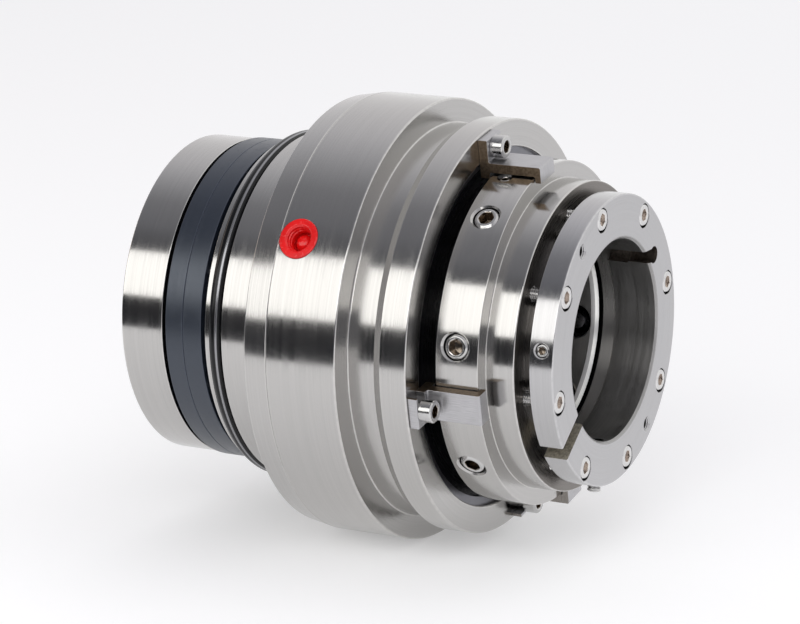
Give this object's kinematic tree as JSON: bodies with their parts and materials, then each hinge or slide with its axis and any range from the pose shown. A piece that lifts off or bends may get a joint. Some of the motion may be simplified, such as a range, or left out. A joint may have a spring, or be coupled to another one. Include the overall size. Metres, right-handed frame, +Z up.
{
  "type": "cartridge mechanical seal",
  "caption": "Cartridge shaft seal: housing with spigot, barrel and flange, two seal faces, sleeve, drive collar, split tapered clamp ring, setting clips and plugged ports.",
  "frame": {"origin": "on the shaft axis, at the housing's shoulder, where the spigot ends and the barrel begins", "axes": "+X along the shaft axis towards the drive end, +Z up, as the seal sits on a level shaft"},
  "size_m": [0.2105, 0.2006, 0.2006],
  "materials": {
    "housing_steel": "turned",
    "holder_steel": "turned",
    "sleeve_steel": "turned",
    "collar_steel": "turned",
    "ring_steel": "turned",
    "clip_steel": "sawn sides",
    "screw_steel": "polished",
    "pin_steel": "ground",
    "spring_steel": "drawn",
    "face_carbide": "satin, lapped",
    "bushing_carbon": "matt",
    "black_rubber": "smooth",
    "red_plastic": "moulded"
  },
  "bodies": {
    "housing": {"gland_housing": "housing_steel", "housing_o_ring": "black_rubber", "port_plugs": "red_plastic", "stationary_o_ring": "black_rubber", "face_springs": "spring_steel", "anti_turn_pins": "pin_steel", "throttle_bushing": "bushing_carbon", "bushing_pin": "pin_steel", "retaining_ring": "spring_steel", "setting_clip_1": "clip_steel", "setting_clip_2": "clip_steel", "setting_clip_3": "clip_steel", "setting_clip_4": "clip_steel", "clip_screws": "screw_steel"},
    "standing_face": {"stationary_face": "face_carbide"},
    "rotor": {"shaft_sleeve": "sleeve_steel", "face_holder": "holder_steel", "holder_screws": "screw_steel", "sleeve_o_ring": "black_rubber", "holder_o_ring": "black_rubber", "rotating_face": "face_carbide", "rotating_o_ring": "black_rubber", "drive_pins": "pin_steel", "drive_collar": "collar_steel", "set_screws": "screw_steel", "lock_screws": "screw_steel", "clamp_ring": "ring_steel", "clamp_screws": "screw_steel", "slit_screws": "screw_steel"}
  },
  "joints": [
    {"name": "rotor_spin", "type": "hinge", "parent": "housing", "child": "rotor", "pos_m": [0, 0, 0], "axis": [1, 0, 0], "continuous": true},
    {"name": "face_float", "type": "slide", "parent": "housing", "child": "standing_face", "axis": [1, 0, 0], "range_m": [0, 0.0025], "stiffness_N_per_m": 9000, "springref_m": -0.004, "deforming": ["face_springs"]}
  ]
}
